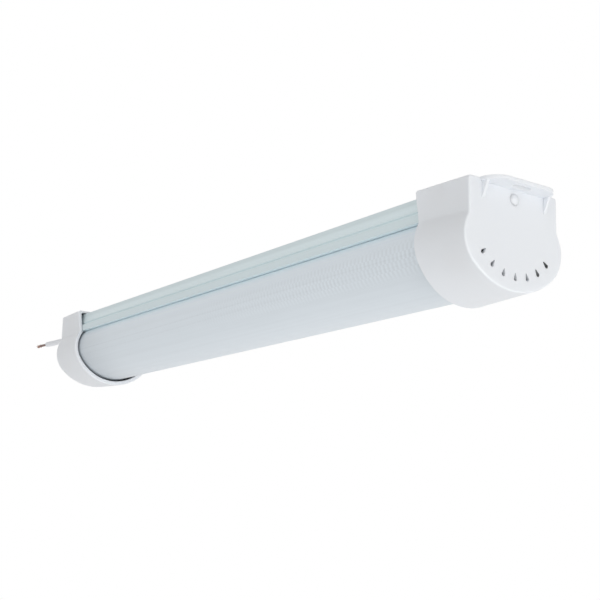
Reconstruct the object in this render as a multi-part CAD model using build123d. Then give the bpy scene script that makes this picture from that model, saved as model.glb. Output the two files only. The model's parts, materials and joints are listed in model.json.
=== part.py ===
from build123d import *
import os
from math import asin, cos, pi, radians, sin, sqrt, tan

# Linear LED ceiling batten of the 600 mm class.
# Millimetres. +Z is up, +X points to the closed end, and the origin lies on the ceiling plane at mid-length.
# A drop is a depth below the ceiling plane, so it is positive.

# Overall
body_length = 600.0  # between the end faces of the two caps

# Housing profile
ceiling_gap = 2.6  # ceiling plane to the top of the housing
housing_half = 35.2  # half-width of the upper walls
housing_wall = 2.0
housing_corner_r = 1.2
flare_drop = 7.8  # where the upper wall starts to lean out
flare_height = 3.0
flare_out = 0.6
notch_height = 2.4  # shadow line above the ledge
notch_depth = 0.8
notch_slope = 0.6
ledge_drop = 14.4
ledge_height = 5.4
ledge_out = 1.9  # ledge past the upper wall
ledge_taper = 0.75
slot_depth = 8.85  # slot that holds the diffuser's lip
slot_height = 2.2
rail_out = 2.7  # rail that carries the lip
rail_thick = 1.6
web_drop = 30.0  # underside of the web that carries the LED board
web_wall = 1.8

# Diffuser
diffuser_out = 1.3  # widest line past the ledge
diffuser_wide_drop = 35.0  # depth of the widest line
diffuser_drop = 65.2
diffuser_side_r = 21.0  # below the widest line
shoulder_in = 6.2  # upper corner inside the widest line
diffuser_wall = 1.8
lip_gap = 0.3  # lip to the slot's faces
lip_end_gap = 0.4

# End caps
cap_depth = 46.0
socket_depth = 24.0  # how far the housing goes into a cap
socket_gap = 2.0  # shadow gap beside the diffuser
bottom_gap = 2.2  # shadow gap under the diffuser
ledge_gap = 0.4
end_gap = 0.5  # housing end to the cap's stops
face_wall = 2.5
top_wall = 2.0
rim_wall = 3.0
bottom_wall = 3.8  # rim under the diffuser
cavity_wall = 2.3
neck_draft = 0.7
side_draft = 0.5
side_r_draft = 2.0
bottom_draft = 2.6
wide_shift = 2.5  # the widest line lies lower at the face than at the rim
cap_corner_r = 1.5
rim_edge_r = 0.5
rim_corner_r = 2.5
neck_r = 5.0
face_edge_r = 1.2
stop_rib_thick = 2.0
stop_rib_root = 1.0  # rib depth inside the wall
stop_rib_drop = 9.0
seat_gap = 0.3
seat_rail_thick = 1.3
seat_rail_reach = 1.5
seat_rail_start = 2.0
seat_rail_root = 1.1  # rail depth inside the wall

# Hood that stands out from the top of a cap's face
hood_depth = 13.0
hood_thick = 2.4
hood_inset = 9.3
hood_corner_r = 13.0
hood_slot_out = 6.3
hood_slot_length = 15.0
hood_slot_width = 4.6
gusset_inset = 2.25
gusset_thick = 2.0
gusset_out = 5.0
gusset_drop = 13.5

# Vents in a cap's face
vent_count = 7
vent_step = 16.2  # degrees
vent_centre_drop = 22.6
vent_margin = 10.1  # vent middle to the bottom of the face
vent_outer_r = 1.35
vent_inner_r = 0.5
vent_span = 3.3  # between the two round ends

# Cable entry
entry_drop = 9.0
entry_r = 3.5
plug_gap = 0.3
plug_head_r = 3.9
plug_dome = 1.5
plug_length = 6.0
plug_chamfer = 0.6
face_gap = 0.1  # under the heads of the plug and the bush
cable_r = 2.9
bore_gap = 0.1
bush_flange_r = 5.4
bush_flange_thick = 2.0
bush_collar_r = 4.7
bush_collar_thick = 1.4
bush_tail_length = 18.0
bush_tail_root_r = 4.7
bush_tail_end_r = 3.8
bush_groove_count = 4
bush_groove_width = 1.5
bush_groove_floor = 0.35  # rubber left between a groove and the cable's bore

# Cord clamp inside a cap
boss_r = 3.1
boss_gap = 1.6
boss_inset = 12.0  # boss axis to the outer face
pilot_r = 1.2
pilot_depth = 6.5
saddle_lap = 0.5  # the saddle reaches up past the cable's lowest line
saddle_thick = 2.6
saddle_width = 8.0
saddle_corner_r = 2.0
screw_play = 0.1
clamp_head_r = 2.6
clamp_head_thick = 1.7
clamp_hole_play = 0.5

# Supply cable and its cores
sheath_inner_inset = 17.0  # inner end of the sheath to the outer face
core_r = 1.35
core_gap = 0.1
core_stub = 18.0
core_turn = -20.0  # degrees about the cable, so that the neutral core lies behind and above
strand_r = 1.0
strand_length = 7.0
lead_r = 1.1
lead_bend_r = 6.0
lead_slant = 9.0  # length along X over which a lead comes down
cable_bend_share = 0.45  # part of the shorter run that a bend takes up

# Driver
driver_inset = 14.0  # from the housing's cable end
driver_length = 170.0
tray_gap = 2.5  # tray to the chamber's sides
tray_wall = 1.5
tray_height = 12.0
pad_thick = 1.0
pad_margin = 8.0
standoff = 2.5
standoff_width = 4.0
board_thick = 1.6
board_gap = 0.5
board_end_gap = 1.0

# Push-in input terminal
terminal_inset = 2.5
terminal_length = 11.0
terminal_half = 6.5
terminal_height = 10.0
entry_pitch = 6.0
wire_entry_rise = 4.0
wire_entry_play = 0.3
wire_entry_depth = 7.0
button_length = 3.0
button_width = 3.2
button_height = 4.2
button_proud = 1.6
button_travel = 1.2
button_play = 0.25
button_floor_gap = 0.3
button_inset = 3.5
terminal_edge_r = 0.3
button_edge_r = 0.3

# Components on the driver board
fuse_r = 4.2
fuse_height = 7.7
fuse_x = 28.0
choke_r = 6.0
choke_waist_r = 4.0
choke_top_gap = 4.3  # to the chamber's ceiling
choke_flange = 2.0
choke_x = 46.0
capacitor_r = 5.0
capacitor_top_gap = 3.3
capacitor_x = 70.0
capacitor_pitch = 13.0
capacitor_edge_r = 0.6
core_length = 24.0
core_depth = 11.0
core_top_gap = 2.3
core_yoke = 3.0
core_leg = 6.0
core_side_leg = 3.2
core_x = 108.0
winding_half_y = 9.0
winding_play = 0.3
winding_corner_r = 4.0
output_inset = 2.5
output_length = 8.0
output_half = 3.6
output_height = 7.0
output_margin = 7.0  # output terminal's middle to the board's edge
output_rise = 4.0

# LED module
tape_thick = 0.5
led_board_margin = 5.5  # board edge to the web's edge
led_board_thick = 1.6
led_board_inset = 8.0
chip_pitch = 18.0
chip_row_margin = 13.0  # chip row to the board's edge
chip_length = 3.5
chip_width = 2.8
chip_height = 0.8
chip_end_margin = 9.0
board_screw_count = 6
board_screw_margin = 27.0
board_screw_r = 1.4
board_screw_head_r = 2.75
board_screw_head_thick = 1.8
board_hole_play = 0.3
tape_hole_play = 0.6
led_lead_r = 0.8
led_lead_pitch = 2.0
led_lead_play = 0.15
led_lead_bend_r = 5.0
led_lead_turn_r = 3.0
grommet_x_gap = 15.0  # output terminal to the hole in the web
grommet_bore_r = 2.3
grommet_neck_r = 3.4
grommet_flange_r = 4.8
grommet_flange_thick = 1.0
connector_gap = 6.0
connector_length = 8.0
connector_half = 3.4
connector_height = 4.0
connector_entry_depth = 4.0

# Places worked out from the sizes above
ledge_half = housing_half + ledge_out
slot_root_half = ledge_half - ledge_taper - slot_depth
diffuser_half = ledge_half + diffuser_out
face_x = body_length / 2
rim_x = face_x - cap_depth
stop_x = rim_x + socket_depth
housing_end = stop_x - end_gap
slot_drop = ledge_drop + ledge_height
lip_top_drop = slot_drop + lip_gap
lip_bottom_drop = slot_drop + slot_height - lip_gap
shoulder_height = diffuser_wide_drop - lip_top_drop
shoulder_r = (shoulder_height**2 + shoulder_in**2) / (2 * shoulder_in)
chamber_floor_drop = web_drop - web_wall
chamber_half = slot_root_half - housing_wall

side_slope = ledge_taper / ledge_height
socket_top_half = ledge_half + ledge_gap + side_slope * ledge_drop
rim_top_half = socket_top_half + rim_wall * sqrt(1 + side_slope**2)
rim_half = diffuser_half + socket_gap + rim_wall
rim_drop = diffuser_drop + bottom_gap + bottom_wall
rim_side_r = diffuser_side_r + socket_gap + rim_wall
rim_shoulder_r = shoulder_r + socket_gap + rim_wall
face_half = rim_half - side_draft
face_drop = rim_drop - bottom_draft
face_wide_drop = diffuser_wide_drop + wide_shift
face_side_r = rim_side_r - side_r_draft
face_shoulder_r = rim_shoulder_r - side_r_draft

boss_y = cable_r + boss_gap + boss_r
boss_drop = entry_drop + cable_r - saddle_lap
boss_x = face_x - boss_inset
bush_tail_x = -(face_x + face_gap + bush_flange_thick + bush_tail_length)
sheath_inner_x = -(face_x - sheath_inner_inset)

driver_x = -housing_end + driver_inset
tray_half = chamber_half - tray_gap
tray_floor_drop = chamber_floor_drop - pad_thick
board_top_drop = tray_floor_drop - tray_wall - standoff - board_thick
board_half = tray_half - tray_wall - board_gap
output_y = board_half - output_margin
headroom = board_top_drop - ceiling_gap - housing_wall
choke_height = headroom - choke_top_gap
capacitor_height = headroom - capacitor_top_gap
core_height = headroom - core_top_gap
terminal_x = driver_x + tray_wall + board_end_gap + terminal_inset
wire_entry_drop = board_top_drop - wire_entry_rise
wire_entry_r = lead_r + wire_entry_play
button_x = terminal_x + terminal_length - button_inset
output_x = driver_x + driver_length - tray_wall - board_end_gap - output_inset
grommet_x = output_x + grommet_x_gap

led_board_half = slot_root_half - led_board_margin
chip_row_half = led_board_half - chip_row_margin
led_top_drop = web_drop + tape_thick
led_face_drop = led_top_drop + led_board_thick
led_board_end = housing_end - led_board_inset
web_hole_r = grommet_neck_r + bore_gap
board_hole_r = grommet_flange_r + board_hole_play
connector_x = grommet_x + connector_gap
connector_wire_drop = led_face_drop + connector_height / 2


def at_x(x):
    """Section plane across the light: local x is +Y and local y is +Z."""
    return Plane(origin=(x, 0, 0), x_dir=(0, 1, 0), z_dir=(1, 0, 0))


def block(x, y, z):
    """Box from (low, high) pairs."""
    middle = [(low + high) / 2 for low, high in (x, y, z)]
    size = [high - low for low, high in (x, y, z)]
    return Pos(*middle) * Box(*size)


def rod(x, y, z, radius):
    """Cylinder along X between the two ends of the pair x."""
    return Pos((x[0] + x[1]) / 2, y, z) * Rot(0, 90, 0) * Cylinder(radius, x[1] - x[0])


def post(x, y, z, radius):
    """Cylinder along Z between the two ends of the pair z."""
    return Pos(x, y, (z[0] + z[1]) / 2) * Cylinder(radius, z[1] - z[0])


def turned(profile, x, z):
    """Solid turned about the X direction; the profile gives (distance along X from x, radius)."""
    section = Plane(origin=(x, 0, z), x_dir=(1, 0, 0), z_dir=(0, -1, 0))
    return revolve(section * make_face(profile), Axis((x, 0, z), (1, 0, 0)))


def prism(face, x):
    """Section face drawn in (y, z), stretched between the two ends of the pair x."""
    return extrude(at_x(x[0]) * face, amount=x[1] - x[0], dir=(1, 0, 0))


def tube(points, radii, radius):
    path = FilletPolyline(*points, radius=radii)
    return sweep(Plane(path @ 0, z_dir=path % 0) * Circle(radius), path=path)


def mirrored_face(points):
    """Closed section from the corners of its right-hand half, given from top to bottom."""
    left = [(-y, z) for y, z in reversed(points)]
    return make_face(Polyline(*points, *left, close=True))


def round_arcs(half, wide_drop, drop, side_r, shoulder_r, start_drop):
    """Shoulders, sides and bottom as arcs tangent to each other, with the half-width of their upper ends."""
    centre_y = half - side_r
    depth = drop - wide_drop
    bottom_r = (centre_y**2 + depth**2 - side_r**2) / (2 * (depth - side_r))
    bottom_z = bottom_r - drop
    share = bottom_r / (bottom_r - side_r)
    join_y = centre_y * share
    join_z = bottom_z - (wide_drop + bottom_z) * share
    start_half = half - shoulder_r + sqrt(shoulder_r**2 - (wide_drop - start_drop) ** 2)
    shoulders = []
    sides = []
    for side in (1, -1):
        widest = (side * half, -wide_drop)
        shoulders.append(TangentArc(widest, (side * start_half, -start_drop), tangent=(0, 1)))
        sides.append(TangentArc(widest, (side * join_y, join_z), tangent=(0, -1)))
    bottom = ThreePointArc((join_y, join_z), (0, -drop), (-join_y, join_z))
    return start_half, [shoulders[0], sides[0], bottom, sides[1], shoulders[1]]


def meeting_drop(top_half, slope, half, wide_drop, shoulder_r):
    """Depth at which a side that leans in from the top meets the shoulder."""
    reach = top_half - (half - shoulder_r)
    lean = slope * reach + wide_drop
    spread = 1 + slope**2
    return (lean - sqrt(lean**2 - spread * (reach**2 + wide_drop**2 - shoulder_r**2))) / spread


def cap_outline(top_half, slope, half, wide_drop, drop, side_r, shoulder_r, top_drop, corner_r):
    """Cap section: flat top, leaning sides, a neck, and a wide round lower part."""
    neck_drop = meeting_drop(top_half, slope, half, wide_drop, shoulder_r)
    neck_half, arcs = round_arcs(half, wide_drop, drop, side_r, shoulder_r, neck_drop)
    corner_half = top_half - slope * top_drop
    top = Line((-corner_half, -top_drop), (corner_half, -top_drop))
    right = Line((corner_half, -top_drop), (neck_half, -neck_drop))
    left = Line((-neck_half, -neck_drop), (-corner_half, -top_drop))
    face = make_face([top, right, *arcs, left])
    corners = face.vertices().group_by(Axis.Y)[-1]
    face = fillet(corners, corner_r)
    necks = [face.vertices().sort_by_distance((side * neck_half, -neck_drop))[0] for side in (-1, 1)]
    return fillet(necks, neck_r)


def face_side_half():
    """Half-width of the upright sides at the face: that of the rim's neck, less the draft."""
    drop = meeting_drop(rim_top_half, side_slope, rim_half, diffuser_wide_drop, rim_shoulder_r)
    return rim_top_half - side_slope * drop - neck_draft


def cap_shell():
    """Outer form with draft, hollowed by the straight socket and by the wiring space behind it."""
    slope = side_slope
    wide = diffuser_wide_drop
    rim = cap_outline(
        rim_top_half, slope, rim_half, wide, rim_drop, rim_side_r, rim_shoulder_r, 0, rim_corner_r
    )
    side = face_side_half()
    face = cap_outline(
        side, 0, face_half, face_wide_drop, face_drop, face_side_r, face_shoulder_r, 0, cap_corner_r
    )
    shell = loft([at_x(rim_x) * rim, at_x(face_x) * face], ruled=True)
    shell = fillet(shell.faces().sort_by(Axis.X)[-1].edges(), face_edge_r)
    gap = socket_gap
    socket = cap_outline(
        socket_top_half,
        slope,
        diffuser_half + gap,
        wide,
        diffuser_drop + bottom_gap,
        diffuser_side_r + gap,
        shoulder_r + gap,
        top_wall,
        cap_corner_r,
    )
    wall = cavity_wall
    space = cap_outline(
        side - wall,
        0,
        face_half - wall,
        face_wide_drop,
        face_drop - wall,
        face_side_r - wall,
        face_shoulder_r - wall,
        top_wall,
        cap_corner_r,
    )
    shell -= prism(socket, (rim_x, stop_x))
    shell -= prism(space, (stop_x, face_x - face_wall))
    rim_face = shell.faces().sort_by(Axis.X)[0]
    return fillet(rim_face.outer_wire().edges(), rim_edge_r)


def vent_cutters():
    """Teardrop vents on an arc, wide end outwards."""
    arc_r = face_drop - vent_margin - vent_centre_drop
    cutters = []
    for number in range(vent_count):
        turn = (number - (vent_count - 1) / 2) * vent_step
        outer = Pos(0, -arc_r - vent_span / 2) * Circle(vent_outer_r)
        inner = Pos(0, -arc_r + vent_span / 2) * Circle(vent_inner_r)
        drop_shape = make_hull(outer.edges() + inner.edges())
        placed = Pos(0, -vent_centre_drop) * Rot(0, 0, turn) * drop_shape
        cutters.append(prism(placed, (face_x - 2 * face_wall, face_x + face_wall)))
    return cutters


def hood():
    """Fixing flange flush with the cap's top, with a screw slot and two gussets."""
    half = face_side_half() - hood_inset
    root = face_x - face_wall
    plate = block((root, face_x + hood_depth), (-half, half), (-hood_thick, 0))
    plate = fillet(plate.edges().filter_by(Axis.Z).group_by(Axis.X)[-1], hood_corner_r)
    slot = Pos(face_x + hood_slot_out, 0, 0) * Rot(0, 0, 90) * SlotOverall(hood_slot_length, hood_slot_width)
    plate -= extrude(slot, amount=hood_thick, both=True)
    gusset = Polyline(
        (root, -hood_thick / 2),
        (face_x + gusset_out, -hood_thick / 2),
        (face_x + gusset_out, -hood_thick),
        (face_x, -gusset_drop),
        (root, -gusset_drop),
        close=True,
    )
    web = extrude(Plane.XZ * make_face(gusset), amount=gusset_thick / 2, both=True)
    for side in (-1, 1):
        plate += Pos(0, side * (half - gusset_inset), 0) * web
    return plate


def cap_ribs():
    """Stops for the housing and the diffuser, and rails under the housing's ledges."""
    wall_x = face_x - face_wall / 2
    ribs = []
    half = face_side_half() - cavity_wall
    thick = stop_rib_thick / 2
    for side in (-1, 1):
        upper = sorted((side * (housing_half - housing_wall), side * (half + stop_rib_root)))
        ribs.append(block((stop_x, wall_x), upper, (-stop_rib_drop - thick, -stop_rib_drop + thick)))
        wide = face_half - cavity_wall
        lower = sorted((side * (diffuser_half - diffuser_wall), side * (wide + stop_rib_root)))
        ribs.append(block((stop_x, wall_x), lower, (-face_wide_drop - thick, -face_wide_drop + thick)))
        seat_drop = slot_drop + seat_gap
        inner = ledge_half - ledge_taper - seat_rail_reach
        outer = ledge_half + ledge_gap + seat_rail_root
        seat = sorted((side * inner, side * outer))
        ribs.append(
            block((rim_x + seat_rail_start, stop_x), seat, (-seat_drop - seat_rail_thick, -seat_drop))
        )
    floor = face_drop - cavity_wall
    bottom = (-floor - stop_rib_root, -diffuser_drop + diffuser_wall)
    ribs.append(block((stop_x, wall_x), (-thick, thick), bottom))
    return ribs


def end_cap():
    """End cap at the +X end."""
    cap = cap_shell()
    cap += hood()
    cap -= vent_cutters()
    cap -= rod((face_x - 2 * face_wall, face_x + face_wall), 0, -entry_drop, entry_r)
    cap += cap_ribs()
    for side in (-1, 1):
        cap += post(boss_x, side * boss_y, (-boss_drop, -top_wall / 2), boss_r)
        cap -= post(boss_x, side * boss_y, (-boss_drop, -boss_drop + pilot_depth), pilot_r)
    return cap


def housing():
    points = [
        (housing_half, -ceiling_gap),
        (housing_half, -flare_drop),
        (housing_half + flare_out, -flare_drop - flare_height),
        (housing_half + flare_out, -ledge_drop + notch_height),
        (housing_half + flare_out - notch_depth, -ledge_drop + notch_height - notch_slope),
        (housing_half + flare_out - notch_depth, -ledge_drop + notch_depth),
        (ledge_half, -ledge_drop),
        (ledge_half - ledge_taper, -slot_drop),
        (slot_root_half, -slot_drop),
        (slot_root_half, -slot_drop - slot_height),
        (slot_root_half + rail_out, -slot_drop - slot_height),
        (slot_root_half + rail_out, -slot_drop - slot_height - rail_thick),
        (slot_root_half, -slot_drop - slot_height - rail_thick),
        (slot_root_half, -web_drop),
    ]
    profile = mirrored_face(points)
    profile = fillet(profile.vertices().group_by(Axis.Y)[-1], housing_corner_r)
    chamber = mirrored_face(
        [
            (housing_half - housing_wall, -ceiling_gap - housing_wall),
            (housing_half - housing_wall, -slot_drop + housing_wall),
            (chamber_half, -slot_drop + housing_wall),
            (chamber_half, -chamber_floor_drop),
        ]
    )
    solid = prism(profile - chamber, (-housing_end, housing_end))
    web = (-web_drop, -chamber_floor_drop)
    for x in board_screw_places():
        solid -= post(x, 0, web, board_screw_r + screw_play)
    return solid - post(grommet_x, output_y, web, web_hole_r)


def diffuser():
    outer_half, outer = round_arcs(
        diffuser_half, diffuser_wide_drop, diffuser_drop, diffuser_side_r, shoulder_r, lip_top_drop
    )
    inner_half, inner = round_arcs(
        diffuser_half - diffuser_wall,
        diffuser_wide_drop,
        diffuser_drop - diffuser_wall,
        diffuser_side_r - diffuser_wall,
        shoulder_r - diffuser_wall,
        lip_bottom_drop,
    )
    lip_half = slot_root_half + lip_end_gap
    edges = [*outer, *inner]
    for side in (-1, 1):
        edges.append(Line((side * outer_half, -lip_top_drop), (side * lip_half, -lip_top_drop)))
        edges.append(Line((side * lip_half, -lip_top_drop), (side * lip_half, -lip_bottom_drop)))
        edges.append(Line((side * lip_half, -lip_bottom_drop), (side * inner_half, -lip_bottom_drop)))
    return prism(make_face(edges), (-housing_end, housing_end))


def blanking_plug():
    barrel_r = entry_r - plug_gap
    head = plug_length + face_gap
    outline = Polyline(
        (head + plug_dome, 0),
        (0, 0),
        (0, barrel_r - plug_chamfer),
        (plug_chamfer, barrel_r),
        (head, barrel_r),
        (head, plug_head_r),
    )
    dome_r = (plug_head_r**2 + plug_dome**2) / (2 * plug_dome)
    half_turn = asin(plug_head_r / dome_r) / 2
    crown = (head + plug_dome - dome_r * (1 - cos(half_turn)), dome_r * sin(half_turn))
    dome = ThreePointArc((head, plug_head_r), crown, (head + plug_dome, 0))
    return turned([*outline.edges(), dome], face_x - plug_length, -entry_drop)


def cable_bush():
    """Strain relief: tapered tail and flange outside the far cap, neck in its wall, collar inside."""
    bore = cable_r + bore_gap
    neck_end = -face_gap
    flange_end = neck_end - bush_flange_thick
    tail_end = flange_end - bush_tail_length
    collar = face_wall + face_gap
    outline = Polyline(
        (tail_end, bore),
        (tail_end, bush_tail_end_r),
        (flange_end, bush_tail_root_r),
        (flange_end, bush_flange_r),
        (neck_end, bush_flange_r),
        (neck_end, entry_r - bore_gap),
        (collar, entry_r - bore_gap),
        (collar, bush_collar_r),
        (collar + bush_collar_thick, bush_collar_r),
        (collar + bush_collar_thick, bore),
        close=True,
    )
    bush = turned(outline, -face_x, -entry_drop)
    step = bush_tail_length / (bush_groove_count + 1)
    floor_r = bore + bush_groove_floor
    for number in range(bush_groove_count):
        middle = -face_x + flange_end - (number + 1) * step
        x = (middle - bush_groove_width / 2, middle + bush_groove_width / 2)
        bush -= rod(x, 0, -entry_drop, bush_flange_r) - rod(x, 0, -entry_drop, floor_r)
    return bush


def cord_clamp():
    half = boss_y + boss_r
    x = (-boss_x - saddle_width / 2, -boss_x + saddle_width / 2)
    saddle = block(x, (-half, half), (-boss_drop - saddle_thick, -boss_drop))
    saddle = fillet(saddle.edges().filter_by(Axis.Z), saddle_corner_r)
    saddle -= rod(x, 0, -entry_drop, cable_r + bore_gap)
    for side in (-1, 1):
        hole = (-boss_drop - saddle_thick, -boss_drop)
        saddle -= post(-boss_x, side * boss_y, hole, pilot_r + clamp_hole_play)
    return saddle


def clamp_screws():
    seat = -boss_drop - saddle_thick
    screws = []
    for side in (-1, 1):
        shank_top = -boss_drop + pilot_depth - clamp_hole_play
        screw = post(-boss_x, side * boss_y, (seat, shank_top), pilot_r - screw_play)
        screw += post(-boss_x, side * boss_y, (seat - clamp_head_thick, seat), clamp_head_r)
        screws.append(screw)
    return Compound(children=screws)


def cable_route():
    """Points along the free cable, from the bush to the end of the sheath."""
    exit_point = Vector(bush_tail_x, 0, -entry_drop)
    steps = [(0, 0, 0), (-26, 0, 0), (-54, 0.3, 0.3), (-83, 0.9, 1.1), (-111, 1.4, 2.4)]
    return [exit_point + Vector(*step) for step in steps]


def supply_cable():
    route = cable_route()
    radii = []
    for before, point, after in zip(route, route[1:], route[2:]):
        run = min((point - before).length, (after - point).length)
        half_turn = radians((point - before).get_angle(after - point)) / 2
        radii.append(cable_bend_share * run / tan(half_turn))
    cable = tube(route, radii, cable_r)
    path = FilletPolyline(*route, radius=radii)
    print("cable bend radii", [round(r) for r in radii], "length", round(path.length, 1))
    print("cable volume over section times length", cable.volume / (pi * cable_r**2 * path.length))
    return cable


def stripped_end(side):
    """One core and its bare strands, side by side with the other core at the end of the sheath."""
    route = cable_route()
    along = (route[-1] - route[-2]).normalized()
    level = along.cross(Vector(0, 0, 1)).normalized()
    across = level.rotate(Axis((0, 0, 0), along), core_turn) * side * (core_r + core_gap)
    end = Plane(route[-1] + across, z_dir=along)
    core = extrude(end * Circle(core_r), amount=core_stub)
    strands_at = Plane(route[-1] + across + along * core_stub, z_dir=along)
    strands = extrude(strands_at * Circle(strand_r), amount=strand_length)
    return core, strands


def supply_lead(side):
    """Core from the inner end of the sheath to the push-in terminal."""
    start = Vector(sheath_inner_x, side * (core_r + core_gap), -entry_drop)
    finish_y = side * entry_pitch / 2
    inside_x = terminal_x + wire_entry_depth - wire_entry_play
    bend_x = (sheath_inner_x + terminal_x) / 2
    points = [
        start,
        (bend_x - lead_slant / 2, start.Y, -entry_drop),
        (bend_x + lead_slant / 2, finish_y, -wire_entry_drop),
        (inside_x, finish_y, -wire_entry_drop),
    ]
    return tube(points, [lead_bend_r, lead_bend_r], lead_r)


def driver_tray():
    x = (driver_x, driver_x + driver_length)
    floor = -tray_floor_drop
    tray = block(x, (-tray_half, tray_half), (floor, floor + tray_height))
    inside_x = (x[0] + tray_wall, x[1] - tray_wall)
    inside = tray_half - tray_wall
    tray -= block(inside_x, (-inside, inside), (floor + tray_wall, floor + tray_height))
    board_drop = board_top_drop + board_thick
    for side in (-1, 1):
        y = sorted((side * inside, side * (inside - standoff_width)))
        tray += block(inside_x, y, (floor + tray_wall, -board_drop))
    gate = block((x[0], inside_x[0]), (-terminal_half, terminal_half), (-board_drop, floor + tray_height))
    outlet_y = (output_y - output_half, output_y + output_half)
    outlet = block((inside_x[1], x[1]), outlet_y, (-board_drop, floor + tray_height))
    return tray - gate - outlet


def driver_pad():
    x = (driver_x + pad_margin, driver_x + driver_length - pad_margin)
    y = tray_half - pad_margin
    return block(x, (-y, y), (-chamber_floor_drop, -tray_floor_drop))


def driver_board():
    end = tray_wall + board_end_gap
    x = (driver_x + end, driver_x + driver_length - end)
    return block(x, (-board_half, board_half), (-board_top_drop - board_thick, -board_top_drop))


def input_terminal():
    x = (terminal_x, terminal_x + terminal_length)
    top = -board_top_drop + terminal_height
    body = block(x, (-terminal_half, terminal_half), (-board_top_drop, top))
    body = fillet(body.edges().filter_by(Axis.Y).group_by(Axis.Z)[-1], terminal_edge_r)
    for side in (-1, 1):
        y = side * entry_pitch / 2
        body -= rod((x[0], x[0] + wire_entry_depth), y, -wire_entry_drop, wire_entry_r)
        long = button_length / 2 + button_play
        wide = button_width / 2 + button_play
        floor = top - (button_height - button_proud) - button_travel - button_floor_gap
        body -= block((button_x - long, button_x + long), (y - wide, y + wide), (floor, top))
    return body


def release_button(side):
    y = side * entry_pitch / 2
    top = -board_top_drop + terminal_height + button_proud
    x = (button_x - button_length / 2, button_x + button_length / 2)
    button = block(x, (y - button_width / 2, y + button_width / 2), (top - button_height, top))
    return fillet(button.faces().sort_by(Axis.Z)[-1].edges(), button_edge_r)


def on_board(shape, x, y):
    """Places a component on the driver board, x from the board's cable end."""
    return Pos(driver_x + x, y, -board_top_drop) * shape


def fuse():
    return on_board(Pos(0, 0, fuse_height / 2) * Cylinder(fuse_r, fuse_height), fuse_x, 0)


def filter_choke():
    """Drum core with its winding between two flanges."""
    waist = (choke_flange, choke_height - choke_flange)
    drum = Pos(0, 0, choke_height / 2) * Cylinder(choke_r, choke_height)
    ring = post(0, 0, waist, choke_r) - post(0, 0, waist, choke_waist_r)
    return on_board(drum - ring, choke_x, 0)


def bulk_capacitors():
    can = Pos(0, 0, capacitor_height / 2) * Cylinder(capacitor_r, capacitor_height)
    can = fillet(can.faces().sort_by(Axis.Z)[-1].edges(), capacitor_edge_r)
    half = capacitor_pitch / 2
    return Compound(children=[on_board(can, capacitor_x, side * half) for side in (-1, 1)])


def transformer_core():
    """Two E halves round a centre leg."""
    core = Pos(0, 0, core_height / 2) * Box(core_length, core_depth, core_height)
    low, high = core_leg / 2, core_length / 2 - core_side_leg
    for side in (-1, 1):
        window = sorted((side * low, side * high))
        core -= block(window, (-core_depth, core_depth), (core_yoke, core_height - core_yoke))
    return on_board(core, core_x, 0)


def transformer_winding():
    height = (core_yoke + winding_play, core_height - core_yoke - winding_play)
    reach = core_length / 2 - core_side_leg - winding_play
    winding = block((-reach, reach), (-winding_half_y, winding_half_y), height)
    winding = fillet(winding.edges().filter_by(Axis.Z), winding_corner_r)
    leg_x = core_leg / 2 + winding_play
    leg_y = core_depth / 2 + winding_play
    winding -= block((-leg_x, leg_x), (-leg_y, leg_y), height)
    return on_board(winding, core_x, 0)


def lead_places():
    return [output_y - led_lead_pitch / 2, output_y + led_lead_pitch / 2]


def output_terminal():
    x = (output_x - output_length, output_x)
    y = (output_y - output_half, output_y + output_half)
    body = block(x, y, (-board_top_drop, -board_top_drop + output_height))
    hole_r = led_lead_r + led_lead_play
    for lead_y in lead_places():
        body -= rod((x[0] + output_length / 2, x[1]), lead_y, -board_top_drop + output_rise, hole_r)
    return body


def led_lead(y):
    """Lead from the driver's output, through the web, to the connector on the LED board."""
    out_z = -board_top_drop + output_rise
    end_z = -connector_wire_drop
    points = [
        (output_x - output_length / 2 + wire_entry_play, y, out_z),
        (grommet_x, y, out_z),
        (grommet_x, y, end_z),
        (connector_x + connector_entry_depth - wire_entry_play, y, end_z),
    ]
    return tube(points, [led_lead_bend_r, led_lead_turn_r], led_lead_r)


def lead_grommet():
    top = -chamber_floor_drop + grommet_flange_thick
    bottom = -web_drop - grommet_flange_thick
    ring = post(grommet_x, output_y, (bottom, top), grommet_neck_r)
    ring += post(grommet_x, output_y, (-chamber_floor_drop, top), grommet_flange_r)
    ring += post(grommet_x, output_y, (bottom, -web_drop), grommet_flange_r)
    return ring - post(grommet_x, output_y, (bottom, top), grommet_bore_r)


def board_screw_places():
    reach = led_board_end - board_screw_margin
    step = 2 * reach / (board_screw_count - 1)
    return [-reach + number * step for number in range(board_screw_count)]


def led_strip(z, screw_hole_r):
    """Flat strip under the web, with its screw holes and the hole round the grommet."""
    strip = block((-led_board_end, led_board_end), (-led_board_half, led_board_half), z)
    for x in board_screw_places():
        strip -= post(x, 0, z, screw_hole_r)
    return strip - post(grommet_x, output_y, z, board_hole_r)


def thermal_tape():
    return led_strip((-led_top_drop, -web_drop), board_screw_r + tape_hole_play)


def led_board():
    return led_strip((-led_face_drop, -led_top_drop), board_screw_r + board_hole_play)


def led_chips():
    """Two rows of chips on the underside of the LED board."""
    reach = led_board_end - chip_end_margin
    count = int(2 * reach / chip_pitch) + 1
    start = -chip_pitch * (count - 1) / 2
    chip = Box(chip_length, chip_width, chip_height)
    z = -led_face_drop - chip_height / 2
    chips = []
    for side in (-1, 1):
        for number in range(count):
            chips.append(Pos(start + number * chip_pitch, side * chip_row_half, z) * chip)
    return Compound(children=chips)


def board_screws():
    screws = []
    seat = -led_face_drop
    for x in board_screw_places():
        screw = post(x, 0, (seat, -chamber_floor_drop), board_screw_r)
        screws.append(screw + post(x, 0, (seat - board_screw_head_thick, seat), board_screw_head_r))
    return Compound(children=screws)


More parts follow.
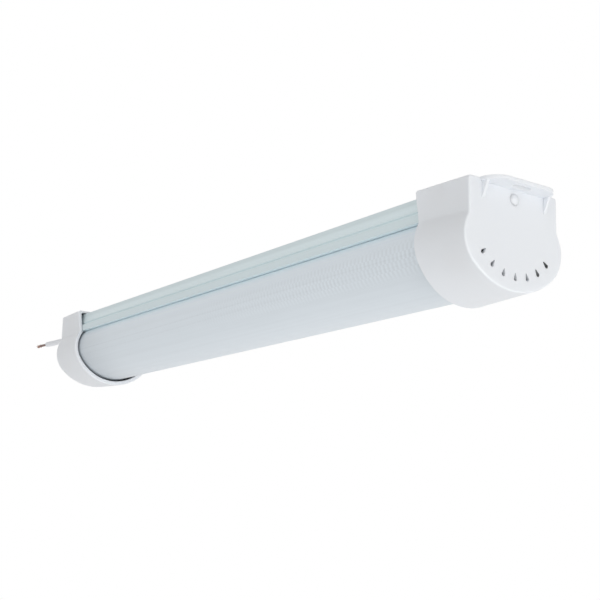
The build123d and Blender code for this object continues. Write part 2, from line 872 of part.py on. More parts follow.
def board_connector():
    x = (connector_x, connector_x + connector_length)
    y = (output_y - connector_half, output_y + connector_half)
    body = block(x, y, (-led_face_drop - connector_height, -led_face_drop))
    hole_r = led_lead_r + led_lead_play
    for lead_y in lead_places():
        body -= rod((x[0], x[0] + connector_entry_depth), lead_y, -connector_wire_drop, hole_r)
    return body


def build():
    cap = end_cap()
    live, neutral = -1, 1
    live_core, live_tip = stripped_end(live)
    neutral_core, neutral_tip = stripped_end(neutral)
    plus_y, minus_y = lead_places()
    return {
        "housing_extrusion": housing(),
        "diffuser": diffuser(),
        "near_end_cap": cap,
        "far_end_cap": Rot(0, 0, 180) * cap,
        "blanking_plug": blanking_plug(),
        "cable_bush": cable_bush(),
        "cord_clamp": cord_clamp(),
        "clamp_screws": clamp_screws(),
        "supply_cable": supply_cable(),
        "supply_cable_inner": rod((bush_tail_x, sheath_inner_x), 0, -entry_drop, cable_r),
        "core_live": live_core,
        "core_neutral": neutral_core,
        "wire_tips": Compound(children=[live_tip, neutral_tip]),
        "lead_live": supply_lead(live),
        "lead_neutral": supply_lead(neutral),
        "input_terminal": input_terminal(),
        "live_button": release_button(live),
        "neutral_button": release_button(neutral),
        "driver_pad": driver_pad(),
        "driver_tray": driver_tray(),
        "driver_board": driver_board(),
        "fuse": fuse(),
        "filter_choke": filter_choke(),
        "bulk_capacitors": bulk_capacitors(),
        "transformer_core": transformer_core(),
        "transformer_winding": transformer_winding(),
        "output_terminal": output_terminal(),
        "led_lead_plus": led_lead(plus_y),
        "led_lead_minus": led_lead(minus_y),
        "lead_grommet": lead_grommet(),
        "thermal_tape": thermal_tape(),
        "led_board": led_board(),
        "led_chips": led_chips(),
        "board_screws": board_screws(),
        "board_connector": board_connector(),
    }


os.makedirs("parts", exist_ok=True)
for node, shape in build().items():
    export_step(shape, f"parts/{node}.step")
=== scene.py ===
import json
from math import cos, pi, radians, sin

import bmesh
import bpy
from mathutils import Matrix, Vector


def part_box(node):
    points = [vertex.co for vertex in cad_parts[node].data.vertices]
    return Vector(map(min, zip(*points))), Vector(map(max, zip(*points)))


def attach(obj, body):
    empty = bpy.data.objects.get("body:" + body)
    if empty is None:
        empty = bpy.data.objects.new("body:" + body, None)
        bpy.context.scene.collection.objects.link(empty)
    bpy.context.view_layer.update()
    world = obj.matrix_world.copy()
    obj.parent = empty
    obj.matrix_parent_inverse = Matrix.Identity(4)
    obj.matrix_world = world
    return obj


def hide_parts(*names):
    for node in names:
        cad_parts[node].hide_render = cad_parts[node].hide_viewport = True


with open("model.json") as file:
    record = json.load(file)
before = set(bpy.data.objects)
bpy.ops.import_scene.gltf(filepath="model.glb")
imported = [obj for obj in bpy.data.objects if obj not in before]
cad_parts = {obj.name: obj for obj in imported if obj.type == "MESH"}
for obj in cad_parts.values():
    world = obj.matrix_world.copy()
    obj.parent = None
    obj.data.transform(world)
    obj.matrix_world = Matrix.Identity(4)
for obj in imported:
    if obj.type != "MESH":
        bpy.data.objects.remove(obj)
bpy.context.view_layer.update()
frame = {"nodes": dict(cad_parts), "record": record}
nodes = frame["nodes"]

# Linear LED ceiling batten. Metres, in the part's own frame:
# +Z points up to the ceiling, +X to the closed end, and the cable leaves at the -X end.

# Camera
image_width = 600  # pixels
focal_pixels = 1127.5
sensor_width = 36.0  # millimetres
camera_place = Vector((0.7774, -0.50145, -0.22689))
camera_yaw = radians(35.308)
camera_pitch = radians(12.41)
camera_roll = radians(1.616)

# Studio
floor_drop = 2.4
floor_size = 12.0
floor_grey = 0.86
floor_roughness = 0.9
world_strength = 0.55
studio_lights = [
    # name, place, aim, size, power
    ("key_light", (2.2, 0.0, -0.6), (0.2, 0.0, -0.04), 1.6, 15.8),
    ("side_light", (0.95, -2.2, -0.1), (0.15, 0.0, -0.04), 2.0, 7.6),
    ("low_light", (0.25, 0.0, -1.0), (0.05, 0.0, -0.05), 2.0, 6.0),
]

# Supply cable
cable_r = 0.0029
cable_exit = Vector((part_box("cable_bush")[0].x, 0.0, -0.009))
cable_steps = [
    (0.0, 0.0, 0.0),
    (-0.026, 0.0, 0.0),
    (-0.054, 0.0003, 0.0003),
    (-0.083, 0.0009, 0.0011),
    (-0.111, 0.0014, 0.0024),
]
cable_ring_steps = 6
cable_run_steps = 16

# Surface grain
noise_detail = 3.0
moulded_scale = 1500.0
moulded_drift_scale = 25.0
moulded_depth = 0.00002
drawn_stretch = 0.02  # drawn marks run along X
drawn_scale = 1200.0
drawn_drift_scale = 400.0
drawn_depth = 0.00001
tone_drift = 0.05
gloss_drift = 0.1

# Housing
housing_colour = (220, 233, 236)
housing_roughness = 0.45
housing_drift = 0.09
# Painted light: lighter bands of tone along the housing, a painted highlight at the foot of the
# upper wall and painted light in the shadow line and the slot, where shade falls.
painted_light_bands = [
    # height, half, soft, change of tone
    (-0.0094, 0.001, 0.003, 0.13),  # foot of the upper wall
    (-0.0132, 0.0012, 0.0004, 0.08),  # shadow line above the ledge
    (-0.0225, 0.0026, 0.0004, 0.18),  # slot under the ledge
]

# Diffuser
diffuser_colour = (236, 245, 252)
diffuser_roughness = 0.4
diffuser_drift = 0.02
diffuser_scatter = 0.15
diffuser_scatter_reach = 0.012
prism_relief = 0.00004
patch_scale = 60.0
patch_stretch = (1.0, 3.0, 3.0)
stroke_pitch = 0.0042  # prisms across the diffuser
prism_height = 0.0052
stroke_wander = 2.4
stroke_middle = -0.0405
stroke_half = 0.005
stroke_soft = 0.009
stroke_fade_start = -0.12
stroke_fade_end = 0.25
stroke_depth = 0.17
prism_lines = [(-0.0395, 0.04), (-0.0446, 0.03), (-0.0262, 0.02)]  # height, depth
line_half = 0.0002
line_soft = 0.0007
dash_pitch = 0.009
streak_scale = 420.0
streak_stretch = (0.012, 1.0, 1.0)
streak_depth = 0.06
# Painted shade on the diffuser: darker on its underside, towards its ends and more so at its cable
# end; painted light makes its lip lighter.
underside_top = -0.03  # deeper in tone below this height, set to match the photo
underside_bottom = -0.055
underside_painted_shade = 0.11
lip_top = -0.022  # plain lip above the prisms
lip_bottom = -0.036
lip_painted_light = 0.095
end_start = 0.1  # dimmer towards the ends, set to match the photo
end_stop = 0.27
end_painted_shade = 0.035
cable_end_start = -0.175  # and more at the cable end
cable_end_stop = -0.27
cable_end_painted_shade = 0.15

# End caps
cap_colour = (234, 237, 241)
cap_roughness = 0.42
cap_drift = 0.03
cap_scatter = 0.6
cap_scatter_reach = 0.003
# Painted shade: the faces in the socket and the wiring space are darker.
cap_socket_painted_shade = 0.8
cap_inward = (-0.012, -0.004)  # faces that look inwards by this much are in the socket
# Painted shade: the vents' walls on one side are darker.
vent_painted_shade = 0.25
vent_pale_y = 0.006  # from here the vents' walls darken, set to match the photo
vent_dark_y = 0.026
cap_inner_x = 0.2975  # inner side of the end wall
cap_inner_soft = 0.0003
cap_middle_drop = 0.035
vent_centre_drop = 0.0226
vent_reach = 0.0405
vent_top_drop = 0.0405
vent_soft = 0.001
vent_root_soft = 0.0004
vent_slope = (0.3, 0.6)  # walls of the vents have less of X in their normal

# Wire ends
core_turn = radians(-20.0)
core_offset = 0.00145
core_stub = 0.018
strand_count = 6
strand_r = 0.00033
strand_length = 0.007
strand_steps = 8
strand_twist = radians(16.0)  # per step
strand_spread = 1.13  # per step
strand_sides = 10

# Screws
clamp_screw = (0.0026, 0.0017, 0.0011)  # head radius, head thickness, shank radius
clamp_screw_count = 2
board_screw = (0.00275, 0.0018, 0.0014)
board_screw_count = 6
screw_sides = 32
head_edge = 0.0006
head_edge_steps = 4
recess_reach = 0.62  # of the head's radius
recess_half = 0.13  # of the head's radius
recess_depth = 0.6  # of the head's height

# LED packages
chip_size = Vector((0.0035, 0.0028, 0.0008))
chip_pitch = 0.018
chip_frame = 0.00038
chip_well = 0.00015
chip_edge = 0.00018
chip_edge_steps = 2
phosphor_colour = (238, 206, 92)

# Choke winding
choke_wire_r = 0.00042
choke_flange = 0.002
choke_waist_r = 0.004
choke_wire_sides = 8
choke_turn_steps = 48
enamel_colour = (168, 84, 42)

# Axes and tolerances
x_axis, y_axis = 0, 1
same_height = 1e-6
cut_tolerance = 1e-7


def display(red, green, blue):
    """Linear colour from an 8-bit display colour."""
    def linear(value):
        share = value / 255
        return share / 12.92 if share <= 0.04045 else ((share + 0.055) / 1.055) ** 2.4

    return (linear(red), linear(green), linear(blue), 1.0)


# Camera, light and floor


def add_camera():
    forward = Vector(
        (
            -cos(camera_pitch) * cos(camera_yaw),
            cos(camera_pitch) * sin(camera_yaw),
            sin(camera_pitch),
        )
    )
    level = forward.cross(Vector((0, 0, 1))).normalized()
    upright = level.cross(forward)
    right = level * cos(camera_roll) + upright * sin(camera_roll)
    up = upright * cos(camera_roll) - level * sin(camera_roll)
    data = bpy.data.cameras.new("camera")
    data.sensor_width = sensor_width
    data.lens = focal_pixels / image_width * sensor_width
    camera = bpy.data.objects.new("camera", data)
    turn = Matrix((right, up, -forward)).transposed().to_4x4()
    camera.matrix_world = Matrix.Translation(camera_place) @ turn
    bpy.context.scene.collection.objects.link(camera)
    bpy.context.scene.camera = camera


def seen_directly(tree):
    """1 for rays that should meet plain white: camera, glossy and transmission rays."""
    path = tree.nodes.new("ShaderNodeLightPath")
    total = path.outputs["Is Camera Ray"]
    for name in ("Is Glossy Ray", "Is Transmission Ray"):
        total = math_node(tree, "MAXIMUM", total, path.outputs[name])
    return total


def add_world():
    world = bpy.data.worlds.new("studio")
    world.use_nodes = True
    bpy.context.scene.world = world
    tree = world.node_tree
    background = tree.nodes["Background"]
    background.inputs["Color"].default_value = (1.0, 1.0, 1.0, 1.0)
    strength = tree.nodes.new("ShaderNodeMix")
    strength.inputs["A"].default_value = world_strength
    strength.inputs["B"].default_value = 1.0
    tree.links.new(seen_directly(tree), strength.inputs["Factor"])
    tree.links.new(strength.outputs["Result"], background.inputs["Strength"])


def add_lights():
    for name, place, aim, size, power in studio_lights:
        data = bpy.data.lights.new(name, "AREA")
        data.size = size
        data.energy = power
        light = bpy.data.objects.new(name, data)
        light.visible_camera = False
        direction = Vector(aim) - Vector(place)
        turn = direction.to_track_quat("-Z", "Y").to_matrix().to_4x4()
        light.matrix_world = Matrix.Translation(place) @ turn
        bpy.context.scene.collection.objects.link(light)


def add_floor():
    bm = bmesh.new()
    bmesh.ops.create_grid(bm, x_segments=1, y_segments=1, size=floor_size / 2)
    bmesh.ops.translate(bm, vec=(0, 0, -floor_drop), verts=bm.verts)
    floor = mesh_object("floor", bm)
    material = bpy.data.materials.new("pale_floor")
    material.use_nodes = True
    tree = material.node_tree
    shader = tree.nodes["Principled BSDF"]
    shader.inputs["Base Color"].default_value = (floor_grey, floor_grey, floor_grey, 1.0)
    shader.inputs["Roughness"].default_value = floor_roughness
    white = tree.nodes.new("ShaderNodeEmission")
    mix = tree.nodes.new("ShaderNodeMixShader")
    tree.links.new(seen_directly(tree), mix.inputs[0])
    tree.links.new(shader.outputs[0], mix.inputs[1])
    tree.links.new(white.outputs[0], mix.inputs[2])
    tree.links.new(mix.outputs[0], tree.nodes["Material Output"].inputs["Surface"])
    floor.data.materials.append(material)


# Meshes


def edges_at(verts):
    """Edges that meet the vertices, each once and in a fixed order."""
    return list(dict.fromkeys(edge for vert in verts for edge in vert.link_edges))


def mesh_object(name, bm, smooth=False):
    mesh = bpy.data.meshes.new(name)
    for face in bm.faces:
        face.smooth = smooth
    bm.to_mesh(mesh)
    bm.free()
    piece = bpy.data.objects.new(name, mesh)
    bpy.context.scene.collection.objects.link(piece)
    return piece


# Shared surface effects


def new_group(name, inputs, outputs):
    """Shader node group with named sockets; inputs are (name, kind, default)."""
    group = bpy.data.node_groups.new(name, "ShaderNodeTree")
    for label, kind, value in inputs:
        socket = group.interface.new_socket(label, in_out="INPUT", socket_type=kind)
        socket.default_value = value
    for label, kind in outputs:
        group.interface.new_socket(label, in_out="OUTPUT", socket_type=kind)
    return group, group.nodes.new("NodeGroupInput"), group.nodes.new("NodeGroupOutput")


def math_node(tree, operation, *values):
    node = tree.nodes.new("ShaderNodeMath")
    node.operation = operation
    for socket, value in zip(node.inputs, values):
        if isinstance(value, (int, float)):
            socket.default_value = value
        else:
            tree.links.new(value, socket)
    return node.outputs[0]


def product(tree, *values):
    total = values[0]
    for value in values[1:]:
        total = math_node(tree, "MULTIPLY", total, value)
    return total


def fade(tree, value, start, end):
    """1 below start, falling smoothly to 0 at end."""
    node = tree.nodes.new("ShaderNodeMapRange")
    node.interpolation_type = "SMOOTHSTEP"
    settings = {"From Min": start, "From Max": end, "To Min": 1.0, "To Max": 0.0}
    for label, setting in settings.items():
        node.inputs[label].default_value = setting
    tree.links.new(value, node.inputs["Value"])
    return node.outputs["Result"]


def rise(tree, value, start, end):
    """0 below start, climbing smoothly to 1 at end."""
    return math_node(tree, "SUBTRACT", 1.0, fade(tree, value, start, end))


def band(tree, value, middle, half, soft):
    """1 within half of the middle, fading to 0 over soft."""
    off = math_node(tree, "ABSOLUTE", math_node(tree, "SUBTRACT", value, middle))
    return fade(tree, off, half, half + soft)


def wave(tree, value, pitch, shift):
    """Sine between 0 and 1 with the given pitch."""
    turn = math_node(tree, "MULTIPLY_ADD", value, 2 * pi / pitch, shift)
    return math_node(tree, "MULTIPLY_ADD", math_node(tree, "SINE", turn), 0.5, 0.5)


def split(tree, vector):
    node = tree.nodes.new("ShaderNodeSeparateXYZ")
    tree.links.new(vector, node.inputs[0])
    return node.outputs["X"], node.outputs["Y"], node.outputs["Z"]


def object_coordinates(tree):
    return tree.nodes.new("ShaderNodeTexCoord").outputs["Object"]


def noise_node(tree, coordinates, scale):
    node = tree.nodes.new("ShaderNodeTexNoise")
    node.inputs["Detail"].default_value = noise_detail
    tree.links.new(coordinates, node.inputs["Vector"])
    if isinstance(scale, (int, float)):
        node.inputs["Scale"].default_value = scale
    else:
        tree.links.new(scale, node.inputs["Scale"])
    return node.outputs["Fac"]


def stretched_object_coordinates(tree, scale):
    mapping = tree.nodes.new("ShaderNodeMapping")
    mapping.inputs["Scale"].default_value = scale
    tree.links.new(object_coordinates(tree), mapping.inputs["Vector"])
    return mapping.outputs["Vector"]


def shade_colour(tree, colour, amount):
    """Colour multiplied by a value."""
    node = tree.nodes.new("ShaderNodeVectorMath")
    node.operation = "SCALE"
    tree.links.new(colour, node.inputs[0])
    tree.links.new(amount, node.inputs["Scale"])
    return node.outputs["Vector"]


surface_outputs = [
    ("Colour", "NodeSocketColor"),
    ("Roughness", "NodeSocketFloat"),
    ("Height", "NodeSocketFloat"),
]


def grain_group(name, stretch):
    """Fine relief with slow drifts of tone and gloss; stretch scales the pattern's axes."""
    group, source, result = new_group(
        name,
        [
            ("Colour", "NodeSocketColor", (0.8, 0.8, 0.8, 1.0)),
            ("Roughness", "NodeSocketFloat", 0.5),
            ("Grain Scale", "NodeSocketFloat", moulded_scale),
            ("Drift Scale", "NodeSocketFloat", moulded_drift_scale),
            ("Drift", "NodeSocketFloat", tone_drift),
            ("Gloss Drift", "NodeSocketFloat", gloss_drift),
        ],
        surface_outputs,
    )
    where = stretched_object_coordinates(group, stretch)
    grain = noise_node(group, where, source.outputs["Grain Scale"])
    drift = noise_node(group, where, source.outputs["Drift Scale"])
    centred = math_node(group, "SUBTRACT", drift, 0.5)
    tone = math_node(group, "MULTIPLY", centred, source.outputs["Drift"])
    tone = math_node(group, "ADD", tone, 1.0)
    gloss = math_node(group, "MULTIPLY", centred, source.outputs["Gloss Drift"])
    gloss = math_node(group, "ADD", gloss, source.outputs["Roughness"])
    group.links.new(shade_colour(group, source.outputs["Colour"], tone), result.inputs["Colour"])
    group.links.new(gloss, result.inputs["Roughness"])
    group.links.new(grain, result.inputs["Height"])
    return group


moulded_grain = grain_group("moulded grain", (1.0, 1.0, 1.0))
drawn_grain = grain_group("drawn grain", (drawn_stretch, 1.0, 1.0))


# Materials


def new_surface(name, metallic=0.0, coat=0.0):
    material = bpy.data.materials.new(name)
    material.use_nodes = True
    tree = material.node_tree
    shader = tree.nodes["Principled BSDF"]
    shader.inputs["Metallic"].default_value = metallic
    shader.inputs["Coat Weight"].default_value = coat
    return material, tree, shader


def place_group(tree, group, values):
    node = tree.nodes.new("ShaderNodeGroup")
    node.node_tree = group
    for label, value in values.items():
        node.inputs[label].default_value = value
    return node


def add_bump(tree, shader, height, depth):
    bump = tree.nodes.new("ShaderNodeBump")
    bump.inputs["Distance"].default_value = depth
    tree.links.new(height, bump.inputs["Height"])
    tree.links.new(bump.outputs["Normal"], shader.inputs["Normal"])


def add_scatter(shader, weight, reach):
    """Light that goes into the plastic and comes out again nearby, the same in every colour."""
    shader.inputs["Subsurface Weight"].default_value = weight
    shader.inputs["Subsurface Radius"].default_value = (1.0, 1.0, 1.0)
    shader.inputs["Subsurface Scale"].default_value = reach


def shade_surface(tree, shader, grain, tone, height, depth):
    """Colour times tone and gloss from a placed grain group, with a relief of its own."""
    tree.links.new(shade_colour(tree, grain.outputs["Colour"], tone), shader.inputs["Base Color"])
    tree.links.new(grain.outputs["Roughness"], shader.inputs["Roughness"])
    add_bump(tree, shader, height, depth)


def grained(name, group, values, depth, metallic=0.0, coat=0.0):
    """Material from one of the grain groups."""
    material, tree, shader = new_surface(name, metallic, coat)
    grain = place_group(tree, group, values)
    tree.links.new(grain.outputs["Colour"], shader.inputs["Base Color"])
    tree.links.new(grain.outputs["Roughness"], shader.inputs["Roughness"])
    add_bump(tree, shader, grain.outputs["Height"], depth)
    return material


def moulded(name, colour, roughness, grain=moulded_scale, depth=moulded_depth, **more):
    values = {"Colour": display(*colour), "Roughness": roughness, "Grain Scale": grain}
    return grained(name, moulded_grain, values, depth, **more)


def drawn_values(colour, roughness, drift):
    return {
        "Colour": display(*colour),
        "Roughness": roughness,
        "Grain Scale": drawn_scale,
        "Drift": drift,
        "Drift Scale": drawn_drift_scale,
    }


def drawn(name, colour, roughness, drift=tone_drift, **more):
    return grained(name, drawn_grain, drawn_values(colour, roughness, drift), drawn_depth, **more)


def housing_material():
    """Drawn aluminium with bands of painted light along it, set to match the photo."""
    material, tree, shader = new_surface("satin_aluminium")
    values = drawn_values(housing_colour, housing_roughness, housing_drift)
    grain = place_group(tree, drawn_grain, values)
    z = split(tree, object_coordinates(tree))[2]
    # painted light: the bands lighten the housing's tone where light falls and where shade falls
    tone = 1.0
    for height, half, soft, change in painted_light_bands:
        tone = math_node(tree, "MULTIPLY_ADD", band(tree, z, height, half, soft), change, tone)
    shade_surface(tree, shader, grain, tone, grain.outputs["Height"], drawn_depth)
    return material


def prism_tone(tree):
    """Tone and relief of the diffuser's prisms: strokes across, lines and streaks along."""
    x, _, z = split(tree, object_coordinates(tree))
    patches = noise_node(tree, stretched_object_coordinates(tree, patch_stretch), patch_scale)
    streaks = noise_node(tree, stretched_object_coordinates(tree, streak_stretch), streak_scale)
    row = math_node(tree, "FLOOR", math_node(tree, "DIVIDE", z, prism_height))
    shift = math_node(tree, "MULTIPLY_ADD", patches, stroke_wander, product(tree, row, pi))
    strokes = math_node(tree, "SUBTRACT", wave(tree, x, stroke_pitch, shift), 0.5)
    zone = product(
        tree,
        band(tree, z, stroke_middle, stroke_half, stroke_soft),
        rise(tree, x, stroke_fade_start, stroke_fade_end),
        patches,
    )
    strokes = product(tree, strokes, zone)
    lines = 0.0
    for place, depth in prism_lines:
        dashes = math_node(tree, "MULTIPLY_ADD", wave(tree, x, dash_pitch, 0.0), 0.5, 0.5)
        line = product(tree, band(tree, z, place, line_half, line_soft), dashes, depth)
        lines = math_node(tree, "ADD", line, lines)
    dark = math_node(tree, "MULTIPLY_ADD", strokes, stroke_depth, lines)
    light = math_node(tree, "MULTIPLY_ADD", streaks, streak_depth, 1.0 - streak_depth / 2)
    # painted shade on the underside and towards the ends, and painted light on the lip
    underside = product(tree, fade(tree, z, underside_bottom, underside_top), underside_painted_shade)
    lip = product(tree, rise(tree, z, lip_bottom, lip_top), lip_painted_light)
    tone = math_node(tree, "SUBTRACT", math_node(tree, "SUBTRACT", light, dark), underside)
    tone = math_node(tree, "ADD", tone, lip)
    ends = product(tree, rise(tree, math_node(tree, "ABSOLUTE", x), end_start, end_stop), end_painted_shade)
    cable_end = product(tree, fade(tree, x, cable_end_stop, cable_end_start), cable_end_painted_shade)
    tone = math_node(tree, "SUBTRACT", tone, math_node(tree, "ADD", ends, cable_end))
    relief = math_node(tree, "SUBTRACT", streaks, strokes)
    return tone, relief


def diffuser_material():
    """Translucent white plastic with a fine grid of prisms."""
    material, tree, shader = new_surface("prismatic_diffuser")
    values = {
        "Colour": display(*diffuser_colour),
        "Roughness": diffuser_roughness,
        "Drift": diffuser_drift,
    }
    grain = place_group(tree, moulded_grain, values)
    tone, relief = prism_tone(tree)
    shade_surface(tree, shader, grain, tone, relief, prism_relief)
    add_scatter(shader, diffuser_scatter, diffuser_scatter_reach)
    return material


def socket_mask(tree, y, z, normal, reach):
    """1 on the faces inside the end wall that look inwards: the socket and the wiring space."""
    height = math_node(tree, "ADD", z, cap_middle_drop)
    outward = math_node(
        tree, "ADD", product(tree, normal[1], y), product(tree, normal[2], height)
    )
    inward = fade(tree, outward, *cap_inward)
    return product(tree, inward, fade(tree, reach, cap_inner_x, cap_inner_x + cap_inner_soft))


def vent_mask(tree, y, z, normal, reach):
    """1 on the walls of the vents."""
    drop = math_node(tree, "ADD", z, vent_centre_drop)
    squares = math_node(tree, "ADD", product(tree, y, y), product(tree, drop, drop))
    distance = math_node(tree, "SQRT", squares)
    return product(
        tree,
        fade(tree, math_node(tree, "ABSOLUTE", normal[0]), *vent_slope),
        rise(tree, reach, cap_inner_x - vent_root_soft, cap_inner_x),
        fade(tree, distance, vent_reach, vent_reach + vent_soft),
        fade(tree, z, -vent_top_drop, vent_soft - vent_top_drop),
    )


def cap_material():
    """Satin white plastic, with painted shade in the socket and on the vents' walls of one side, to
    match the photo.
    """
    material, tree, shader = new_surface("cap_plastic")
    values = {"Colour": display(*cap_colour), "Roughness": cap_roughness, "Drift": cap_drift}
    grain = place_group(tree, moulded_grain, values)
    x, y, z = split(tree, object_coordinates(tree))
    geometry = tree.nodes.new("ShaderNodeNewGeometry")
    normal = split(tree, geometry.outputs["Normal"])
    reach = math_node(tree, "ABSOLUTE", x)
    # painted shade: the faces in the socket are darker
    inside = socket_mask(tree, y, z, normal, reach)
    vents = vent_mask(tree, y, z, normal, reach)
    tone = math_node(tree, "MULTIPLY_ADD", inside, cap_socket_painted_shade - 1.0, 1.0)
    # painted shade: the vents' walls on one side are darker
    sideways = math_node(tree, "MULTIPLY", y, math_node(tree, "SIGN", x))
    darker = rise(tree, sideways, vent_pale_y, vent_dark_y)
    tone = math_node(tree, "MULTIPLY_ADD", product(tree, vents, darker), vent_painted_shade - 1.0, tone)
    shade_surface(tree, shader, grain, tone, grain.outputs["Height"], moulded_depth)
    add_scatter(shader, cap_scatter, cap_scatter_reach)
    return material


finishes = {
    # name of the slot: finish, with its display colour and roughness
    "housing": housing_material(),
    "diffuser": diffuser_material(),
    "cap": cap_material(),
    "bush": moulded("bush_rubber", (222, 222, 220), 0.6),
    "clamp": moulded("clamp_plastic", (224, 224, 221), 0.5),
    "screw": drawn("plated_steel", (196, 197, 199), 0.35, metallic=1.0),
    "sheath": moulded("cable_sheath", (238, 240, 244), 0.5),
    "live": moulded("brown_insulation", (114, 78, 66), 0.4),
    "neutral": moulded("blue_insulation", (50, 96, 168), 0.4),
    "copper": drawn("tarnished_copper", (152, 104, 84), 0.5, drift=0.3, metallic=1.0),
    "terminal": moulded("terminal_plastic", (228, 226, 219), 0.45),
    "button": moulded("button_plastic", (226, 122, 40), 0.38),
    "foam": moulded("pad_foam", (52, 52, 54), 0.95, grain=600.0, depth=0.0002),
    "tray": moulded("tray_plastic", (220, 220, 216), 0.5),
    "circuit_board": moulded("green_board", (44, 106, 62), 0.35, coat=0.3),
    "fuse": moulded("fuse_body", (42, 42, 45), 0.4),
    "ferrite": moulded("fired_ferrite", (58, 58, 60), 0.7, grain=900.0),
    "can": moulded("capacitor_sleeve", (48, 54, 78), 0.3),
    "winding": moulded("winding_tape", (226, 198, 82), 0.4),
    "lead_red": moulded("red_insulation", (176, 34, 34), 0.4),
    "lead_black": moulded("black_insulation", (36, 36, 38), 0.4),
    "tape": moulded("thermal_tape", (196, 198, 200), 0.8),
    "led_board": moulded("white_board", (240, 240, 238), 0.35, coat=0.3),
    "chip": moulded("chip_frame", (240, 239, 234), 0.4),
}


def dress_nodes():
    for entry in frame["record"]["subparts"]:
        data = nodes[entry["node"]].data
        data.materials.clear()
        data.materials.append(finishes[entry["material_slot"]])


# Pieces


def supply_cord():
    curve = bpy.data.curves.new("supply_cord", "CURVE")
    curve.dimensions = "3D"
    curve.bevel_depth = cable_r
    curve.bevel_resolution = cable_ring_steps
    curve.resolution_u = cable_run_steps
    curve.use_fill_caps = True
    spline = curve.splines.new("NURBS")
    spline.points.add(len(cable_steps) - 1)
    for point, step in zip(spline.points, cable_steps):
        point.co = (*(cable_exit + Vector(step)), 1.0)
    spline.order_u = 3
    spline.use_endpoint_u = True
    cord = bpy.data.objects.new("supply_cord", curve)
    bpy.context.scene.collection.objects.link(cord)
    cord.data.materials.append(finishes["sheath"])
    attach(cord, "far_cap")
    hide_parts("supply_cable")


def add_piece(name, bm, body, node, materials, smooth=False):
    """New piece that rides on a body and, where a node is named, stands for it."""
    bmesh.ops.recalc_face_normals(bm, faces=bm.faces)
    piece = mesh_object(name, bm, smooth)
    for material in materials:
        piece.data.materials.append(material)
    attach(piece, body)
    if node:
        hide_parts(node)


def add_strand(bm, place, offset):
    """One strand along the bundle's axis, twisted round it and splayed towards its end."""
    ring = bmesh.ops.create_circle(
        bm,
        cap_ends=True,
        segments=strand_sides,
        radius=strand_r,
        matrix=Matrix.Translation(offset),
    )
    verts = list(ring["verts"])
    face = verts[0].link_faces[0]
    step = Vector((0, 0, strand_length / strand_steps))
    for _ in range(strand_steps):
        grown = bmesh.ops.extrude_face_region(bm, geom=[face, *face.edges])["geom"]
        face = next(item for item in grown if isinstance(item, bmesh.types.BMFace))
        top = list(face.verts)
        bmesh.ops.translate(bm, vec=step, verts=top)
        bmesh.ops.rotate(bm, matrix=Matrix.Rotation(strand_twist, 3, "Z"), verts=top)
        middle = face.calc_center_median()
        outward = Vector((middle.x, middle.y, 0)) * (strand_spread - 1)
        bmesh.ops.translate(bm, vec=outward, verts=top)
        verts += top
    bmesh.ops.transform(bm, matrix=place, verts=verts)


def wire_strands():
    """Bare ends of the two cores, as twisted strands."""
    bm = bmesh.new()
    end = Vector(cable_steps[-1])
    along = (end - Vector(cable_steps[-2])).normalized()
    level = along.cross(Vector((0, 0, 1))).normalized()
    across = Matrix.Rotation(core_turn, 3, along) @ level * core_offset
    turn = along.to_track_quat("Z", "Y").to_matrix().to_4x4()
    for side in (-1, 1):
        place = Matrix.Translation(cable_exit + end + side * across + along * core_stub) @ turn
        add_strand(bm, place, Vector((0, 0, 0)))
        for number in range(strand_count):
            angle = 2 * pi * number / strand_count
            add_strand(bm, place, 2 * strand_r * Vector((cos(angle), sin(angle), 0)))
    copper = finishes["copper"]
    add_piece("wire_strands", bm, "far_cap", "wire_tips", [copper], smooth=True)


def lowest_faces(bm, low, middle, reach):
    """Faces that look down at height low, within reach of the middle."""
    found = []
    for face in bm.faces:
        centre = face.calc_center_median()
        if abs(centre.z - low) < same_height and (centre - middle).to_2d().length < reach:
            found.append(face)
    return found


def cut_recess(bm, low, middle, head_r, height):
    """Cross recess: the underside is cut along the cross's edges, and the cross pushed in."""
    half = recess_half * head_r
    reach = recess_reach * head_r
    for axis in (Vector((1, 0, 0)), Vector((0, 1, 0))):
        for offset in (-reach, -half, half, reach):
            faces = lowest_faces(bm, low, middle, head_r)
            edges = dict.fromkeys(edge for face in faces for edge in face.edges)
            verts = dict.fromkeys(vert for face in faces for vert in face.verts)
            bmesh.ops.bisect_plane(
                bm,
                geom=[*faces, *edges, *verts],
                dist=cut_tolerance,
                plane_co=middle + axis * offset,
                plane_no=axis,
            )
    cross = []
    for face in lowest_faces(bm, low, middle, head_r):
        off = face.calc_center_median() - middle
        short, long = sorted((abs(off.x), abs(off.y)))
        if short < half and long < reach:
            cross.append(face)
    grown = bmesh.ops.extrude_face_region(bm, geom=cross)["geom"]
    floor = [item for item in grown if isinstance(item, bmesh.types.BMVert)]
    bmesh.ops.translate(bm, vec=(0, 0, recess_depth * height), verts=floor)
    bmesh.ops.delete(bm, geom=[face for face in cross if face.is_valid], context="FACES")


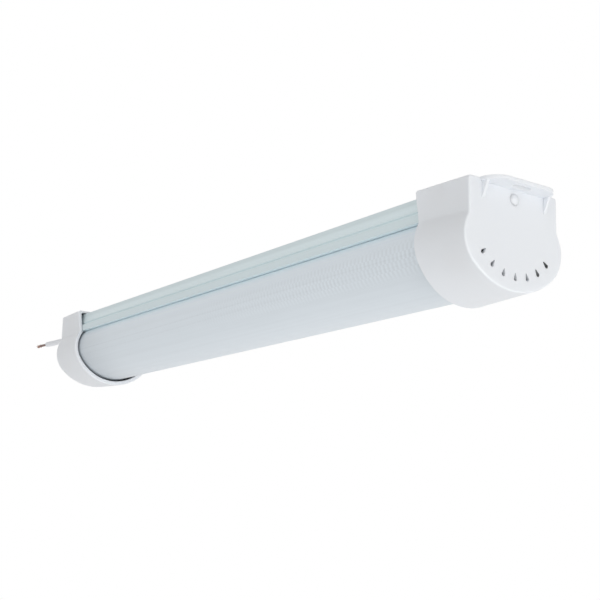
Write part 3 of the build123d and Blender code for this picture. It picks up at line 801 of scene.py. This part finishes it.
def add_screw(bm, middle, low, seat, tip, head_r, shank_r):
    head = bmesh.ops.create_cone(
        bm,
        cap_ends=True,
        segments=screw_sides,
        radius1=head_r,
        radius2=head_r,
        depth=seat - low,
        matrix=Matrix.Translation((middle.x, middle.y, (low + seat) / 2)),
    )
    rim = []
    for edge in edges_at(head["verts"]):
        if all(abs(vert.co.z - low) < same_height for vert in edge.verts):
            rim.append(edge)
    bmesh.ops.bevel(
        bm,
        geom=rim,
        offset=head_edge,
        segments=head_edge_steps,
        profile=0.5,
        affect="EDGES",
        material=-1,
    )
    cut_recess(bm, low, middle, head_r - head_edge, seat - low)
    bmesh.ops.create_cone(
        bm,
        cap_ends=True,
        segments=screw_sides,
        radius1=shank_r,
        radius2=shank_r,
        depth=tip - seat,
        matrix=Matrix.Translation((middle.x, middle.y, (seat + tip) / 2)),
    )


def cross_screws(name, node, body, axis, count, head_r, head_thick, shank_r):
    """Row of pan-head screws with cross recesses, spread over the node's box along an axis."""
    low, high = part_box(node)
    first, last = low[axis] + head_r, high[axis] - head_r
    bm = bmesh.new()
    for number in range(count):
        middle = (low + high) / 2
        middle.z = 0.0
        middle[axis] = first + (last - first) * number / (count - 1)
        add_screw(bm, middle, low.z, low.z + head_thick, high.z, head_r, shank_r)
    add_piece(name, bm, body, node, [finishes["screw"]])


def led_packages():
    """Two rows of LED packages: a white frame round a sunken phosphor window."""
    low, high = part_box("led_chips")
    bm = bmesh.new()
    rows = (low.y + chip_size.y / 2, high.y - chip_size.y / 2)
    count = round((high.x - low.x - chip_size.x) / chip_pitch) + 1
    for y in rows:
        for number in range(count):
            x = low.x + chip_size.x / 2 + number * chip_pitch
            add_package(bm, Vector((x, y, (low.z + high.z) / 2)))
    phosphor = moulded("phosphor_window", phosphor_colour, 0.25)
    materials = [finishes["chip"], phosphor]
    add_piece("led_packages", bm, "housing", "led_chips", materials)


def add_package(bm, middle):
    cube = bmesh.ops.create_cube(
        bm, size=1.0, matrix=Matrix.Translation(middle) @ Matrix.Diagonal(chip_size).to_4x4()
    )
    upright = []
    for edge in edges_at(cube["verts"]):
        first, second = edge.verts
        if abs(first.co.z - second.co.z) > chip_size.z / 2:
            upright.append(edge)
    bmesh.ops.bevel(
        bm,
        geom=upright,
        offset=chip_edge,
        segments=chip_edge_steps,
        profile=0.5,
        affect="EDGES",
        material=-1,
    )
    reach = chip_size.x / 2
    window = lowest_faces(bm, middle.z - chip_size.z / 2, middle, reach)
    bmesh.ops.inset_region(bm, faces=window, thickness=chip_frame, depth=-chip_well)
    for face in window:
        face.material_index = 1


def choke_winding():
    """Turns of enamelled wire round the choke's waist."""
    low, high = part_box("filter_choke")
    middle = (low + high) / 2
    bm = bmesh.new()
    start = low.z + choke_flange + choke_wire_r
    room = high.z - low.z - 2 * choke_flange - 2 * choke_wire_r
    turns = int(room / (2 * choke_wire_r))
    wound_x = middle.x + choke_waist_r + choke_wire_r
    upright = Matrix.Rotation(pi / 2, 4, "X")
    for number in range(turns + 1):
        place = Vector((wound_x, middle.y, start + number * room / turns))
        ring = bmesh.ops.create_circle(
            bm,
            segments=choke_wire_sides,
            radius=choke_wire_r,
            matrix=Matrix.Translation(place) @ upright,
        )
        bmesh.ops.spin(
            bm,
            geom=[*ring["verts"], *edges_at(ring["verts"])],
            cent=middle,
            axis=(0, 0, 1),
            angle=2 * pi,
            steps=choke_turn_steps,
            use_merge=True,
            use_duplicate=False,
        )
    enamel = drawn("enamelled_wire", enamel_colour, 0.3, coat=0.4)
    add_piece("choke_winding", bm, "housing", None, [enamel], smooth=True)


add_camera()
add_world()
add_lights()
add_floor()
dress_nodes()
wire_strands()
supply_cord()
cross_screws("clamp_screw_pair", "clamp_screws", "far_cap", y_axis, clamp_screw_count, *clamp_screw)
cross_screws("board_screw_row", "board_screws", "housing", x_axis, board_screw_count, *board_screw)
led_packages()
choke_winding()

bpy.context.scene.view_settings.view_transform = "Standard"
